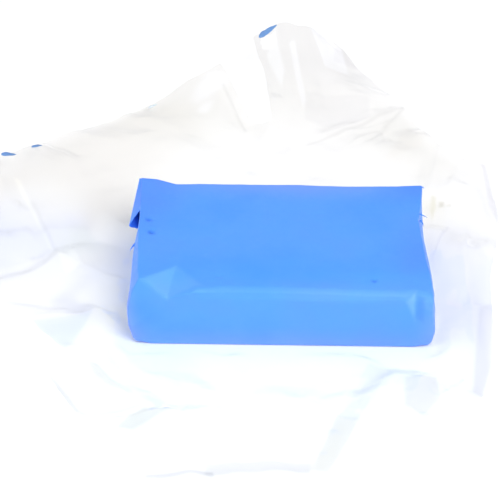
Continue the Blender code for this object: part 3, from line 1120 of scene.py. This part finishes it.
def make_mark(number, node, cad, material):
    """A smear of clay where the CAD mark lies: thick at one end, drawn out thin, seated on the film."""
    corners = np.array([v.co for v in frame["nodes"][node].data.vertices]) / MM
    middle = corners[:, :2].mean(axis=0)
    flat = corners[:, :2] - middle
    direction = np.linalg.svd(flat, full_matrices=False)[2][0]
    if direction[0] < 0:
        direction = -direction
    half_length = np.abs(flat @ direction).max()
    half_width = np.abs(flat @ turned(direction, 90)).max()
    shift_x, shift_y, angle = MARK_SHIFTS.get(node, (0.0, 0.0, 0.0))
    middle = middle + (shift_x, shift_y)
    direction = turned(direction, angle)
    sideways = turned(direction, 90)
    height = np.ptp(corners[:, 2]) * MARK_RISE
    rings = np.arange(MARK_RINGS + 1)
    s = np.repeat(-np.cos(math.pi * rings / MARK_RINGS), MARK_SIDES)
    turn = np.tile(2 * math.pi * np.arange(MARK_SIDES) / MARK_SIDES, MARK_RINGS + 1)
    profile = np.sqrt(np.clip(1 - s * s, 0, 1)) * (1.0 - 0.45 * s) / 1.1
    lumps = 1 + 0.20 * gradient_noise(2.3 * s + number, np.cos(turn), 61)
    across = half_width * profile * np.cos(turn) * lumps + 0.25 * half_width * s * s
    x = middle[0] + direction[0] * half_length * s + sideways[0] * across
    y = middle[1] + direction[1] * half_length * s + sideways[1] * across
    seat = film_heights(x, y, cad) + FILM_THICKNESS + MARK_SEAT
    rise = height * profile * lumps * (0.5 + 0.5 * np.sin(turn)) ** 0.8
    vertices = np.column_stack([x, y, seat + rise])
    faces = []
    for i in range(MARK_RINGS):
        for k in range(MARK_SIDES):
            a, b = i * MARK_SIDES + k, i * MARK_SIDES + (k + 1) % MARK_SIDES
            faces.append((a, b, b + MARK_SIDES, a + MARK_SIDES))
    mark = mesh_object(f"clay_smear_{number}", vertices * MM, faces, material)
    bm = bmesh.new()
    bm.from_mesh(mark.data)
    bmesh.ops.remove_doubles(bm, verts=bm.verts[:], dist=1e-6)
    bmesh.ops.recalc_face_normals(bm, faces=bm.faces[:])
    bm.to_mesh(mark.data)
    bm.free()
    return mark


# ---------------------------------------------------------------------------------------------
# The room

CAMERA_TARGET = Vector((-10.5, 6.77, 11.5)) * MM
CAMERA_AZIMUTH = math.radians(0.327)
CAMERA_ELEVATION = math.radians(37.233)
CAMERA_ROLL = math.radians(0.565)
CAMERA_DISTANCE = 583.2 * MM
CAMERA_LENS = 126.65  # mm, on a sensor 36 mm wide
STUDIO_LIGHT = 0.72
FLOOR_HALF = 3.0


def make_camera():
    """Look down on the bar from the front through a long lens."""
    flat = math.cos(CAMERA_ELEVATION)
    back = Vector(
        (
            math.sin(CAMERA_AZIMUTH) * flat,
            -math.cos(CAMERA_AZIMUTH) * flat,
            math.sin(CAMERA_ELEVATION),
        )
    )
    right = back.cross(Vector((0, 0, -1))).normalized()
    up = back.cross(right)
    turn = Matrix((right, up, back)).transposed() @ Matrix.Rotation(CAMERA_ROLL, 3, "Z")
    place = CAMERA_TARGET + back * CAMERA_DISTANCE
    camera = bpy.data.objects.new("camera", bpy.data.cameras.new("camera"))
    camera.data.sensor_width = 36.0
    camera.data.lens = CAMERA_LENS
    camera.data.clip_start = 0.01
    camera.matrix_world = Matrix.Translation(place) @ turn.to_4x4()
    bpy.context.scene.collection.objects.link(camera)
    bpy.context.scene.camera = camera


def area_light(name, place, size, power, colour):
    """A round soft box that faces the bar."""
    light = bpy.data.lights.new(name, "AREA")
    light.shape = "DISK"
    light.size = size
    light.energy = power
    light.color = colour
    obj = bpy.data.objects.new(name, light)
    obj.location = place
    obj.rotation_euler = (-Vector(place)).to_track_quat("-Z", "Y").to_euler()
    bpy.context.scene.collection.objects.link(obj)


def make_world():
    """A pale studio all round: brightest overhead, a little greyer and bluer towards the horizon."""
    world = bpy.data.worlds.new("studio")
    bpy.context.scene.world = world
    world.use_nodes = True
    n = Nodes(world.node_tree)
    direction = n.add("ShaderNodeTexCoord").outputs["Generated"]
    height = n.add("ShaderNodeSeparateXYZ", {"Vector": direction}).outputs["Z"]
    colour = n.ramp(
        height,
        [(0.0, (0.80, 0.82, 0.88, 1.0)), (0.45, (0.80, 0.81, 0.84, 1.0)), (1.0, (1.0, 1.0, 1.0, 1.0))],
    )
    background = n.add("ShaderNodeBackground", {"Color": colour, "Strength": STUDIO_LIGHT})
    n.add("ShaderNodeOutputWorld", {"Surface": background.outputs["Background"]})


def make_floor():
    """A wide plain table."""
    signs = ((-1, -1), (1, -1), (1, 1), (-1, 1))
    corners = [(sx * FLOOR_HALF, sy * FLOOR_HALF, 0) for sx, sy in signs]
    floor = mesh_object("table", corners, [(0, 1, 2, 3)], floor_material(), smooth=False)


# ---------------------------------------------------------------------------------------------

make_camera()
make_world()
make_floor()
area_light("key", (0.42, -0.54, 0.74), size=0.65, power=7.0, colour=(1.0, 0.99, 0.97))
area_light("fill", (-0.75, -0.4, 0.5), size=0.8, power=4.2, colour=(0.95, 0.97, 1.0))
bpy.context.scene.view_settings.view_transform = "Standard"

clay = clay_material("clay", CLAY_BLUES, with_painted_light=True)
smear = clay_material("smeared_clay", SMEAR_BLUES)
thin_smear = clay_material("thin_smear", THIN_SMEAR_BLUES)
film = film_material()

bar = make_bar(clay)
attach(bar, "bar")
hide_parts("clay_bar")

cad_heights = CadHeights()
film_back, film_front = make_film(cad_heights, film)
for half, flap, side in ((film_back, "back_flap", 1), (film_front, "front_flap", -1)):
    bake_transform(half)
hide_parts("film_base", "film_back_flap")
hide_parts("film_base", "film_front_flap")

for number, node in enumerate(MARK_NODES, start=1):
    mark = make_mark(number, node, cad_heights, thin_smear if node == THIN_MARK else smear)
    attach(mark, "back_flap")
    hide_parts(node)
